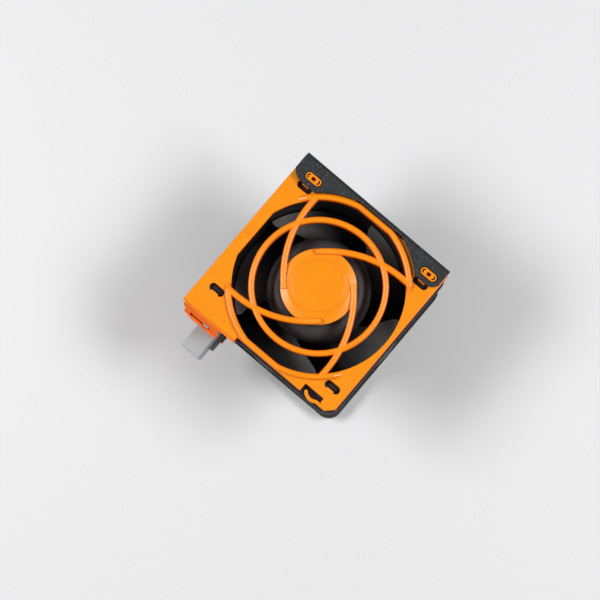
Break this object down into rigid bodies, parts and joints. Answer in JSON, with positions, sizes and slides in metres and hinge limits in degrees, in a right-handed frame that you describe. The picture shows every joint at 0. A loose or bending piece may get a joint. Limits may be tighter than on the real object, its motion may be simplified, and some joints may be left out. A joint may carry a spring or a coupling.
{
  "type": "server fan module",
  "caption": "Square axial fan module with a spiral finger guard on an orange carrier, damping pad, corner isolators, spring locating finger and a plug on a bracket.",
  "frame": {"origin": "on the rotor axis at the rear (exhaust) face of the fan frame", "axes": "+Z along the rotor axis towards the guard (air inlet), -Y towards the plug, +Y towards the damping pad, +X completes the right-handed frame"},
  "size_m": [0.0606, 0.0735, 0.0423],
  "materials": {
    "orange_plastic": "satin moulded plastic, warm orange",
    "frame_plastic": "black glass-filled plastic, light grain",
    "impeller_plastic": "black moulded plastic, satin",
    "pad_rubber": "dark grey dense foam rubber",
    "isolator_rubber": "soft black rubber",
    "plug_plastic": "light grey moulded plastic",
    "terminal_metal": "plated contact metal",
    "shaft_steel": "ground steel",
    "bearing_steel": "polished bearing steel",
    "cage_plastic": "natural moulded plastic",
    "sleeve_brass": "turned brass",
    "yoke_steel": "drawn steel, plated",
    "magnet_ferrite": "bonded ferrite",
    "core_steel": "stacked laminations",
    "insulator_plastic": "natural moulded plastic",
    "coil_copper": "enamelled copper wire",
    "board_laminate": "green board laminate",
    "chip_plastic": "black moulded package",
    "capacitor_can": "bare can",
    "label_film": "blank printed film",
    "lead_red": "insulated wire",
    "lead_black": "insulated wire",
    "lead_yellow": "insulated wire",
    "lead_blue": "insulated wire"
  },
  "bodies": {
    "module": {"fan_frame": "frame_plastic", "motor_label": "label_film", "bearing_sleeve": "sleeve_brass", "rear_bearing_outer_ring": "bearing_steel", "rear_bearing_shields": "shaft_steel", "front_bearing_outer_ring": "bearing_steel", "front_bearing_shields": "shaft_steel", "stator_core": "core_steel", "front_insulator": "insulator_plastic", "rear_insulator": "insulator_plastic", "stator_coils": "coil_copper", "circuit_board": "board_laminate", "hall_sensor": "chip_plastic", "driver_chip": "chip_plastic", "supply_capacitor": "capacitor_can", "chip_resistors": "chip_plastic", "guard_carrier": "orange_plastic", "plug_housing": "plug_plastic", "plug_terminals": "terminal_metal", "lead_wire_1": "lead_red", "lead_wire_2": "lead_black", "lead_wire_3": "lead_yellow", "lead_wire_4": "lead_blue", "damping_pad": "pad_rubber", "corner_isolators": "isolator_rubber"},
    "rotor": {"impeller": "impeller_plastic", "rotor_yoke": "yoke_steel", "rotor_magnet": "magnet_ferrite", "hub_bush": "sleeve_brass", "shaft": "shaft_steel", "shaft_retaining_clip": "yoke_steel", "preload_spring": "yoke_steel", "rear_bearing_inner_ring": "bearing_steel", "front_bearing_inner_ring": "bearing_steel"},
    "front_balls": {"front_bearing_balls": "bearing_steel", "front_bearing_cage": "cage_plastic"},
    "rear_balls": {"rear_bearing_balls": "bearing_steel", "rear_bearing_cage": "cage_plastic"},
    "finger": {"locating_finger": "orange_plastic"}
  },
  "joints": [
    {"name": "rotor_spin", "type": "hinge", "parent": "module", "child": "rotor", "pos_m": [0, 0, 0.0165], "axis": [0, 0, 1], "continuous": true},
    {"name": "front_ball_orbit", "type": "hinge", "parent": "module", "child": "front_balls", "pos_m": [0, 0, 0.028], "axis": [0, 0, 1], "continuous": true},
    {"name": "rear_ball_orbit", "type": "hinge", "parent": "module", "child": "rear_balls", "pos_m": [0, 0, 0.005], "axis": [0, 0, 1], "continuous": true},
    {"name": "finger_press", "type": "hinge", "parent": "module", "child": "finger", "pos_m": [0.0249, -0.02855, 0.0396], "axis": [0, 0, -1], "range_deg": [0, 8], "stiffness_Nm_per_rad": 0.05}
  ],
  "couplings": [
    {"joint": "front_ball_orbit", "follows": "rotor_spin", "ratio": 0.3661},
    {"joint": "rear_ball_orbit", "follows": "rotor_spin", "ratio": 0.3661}
  ]
}
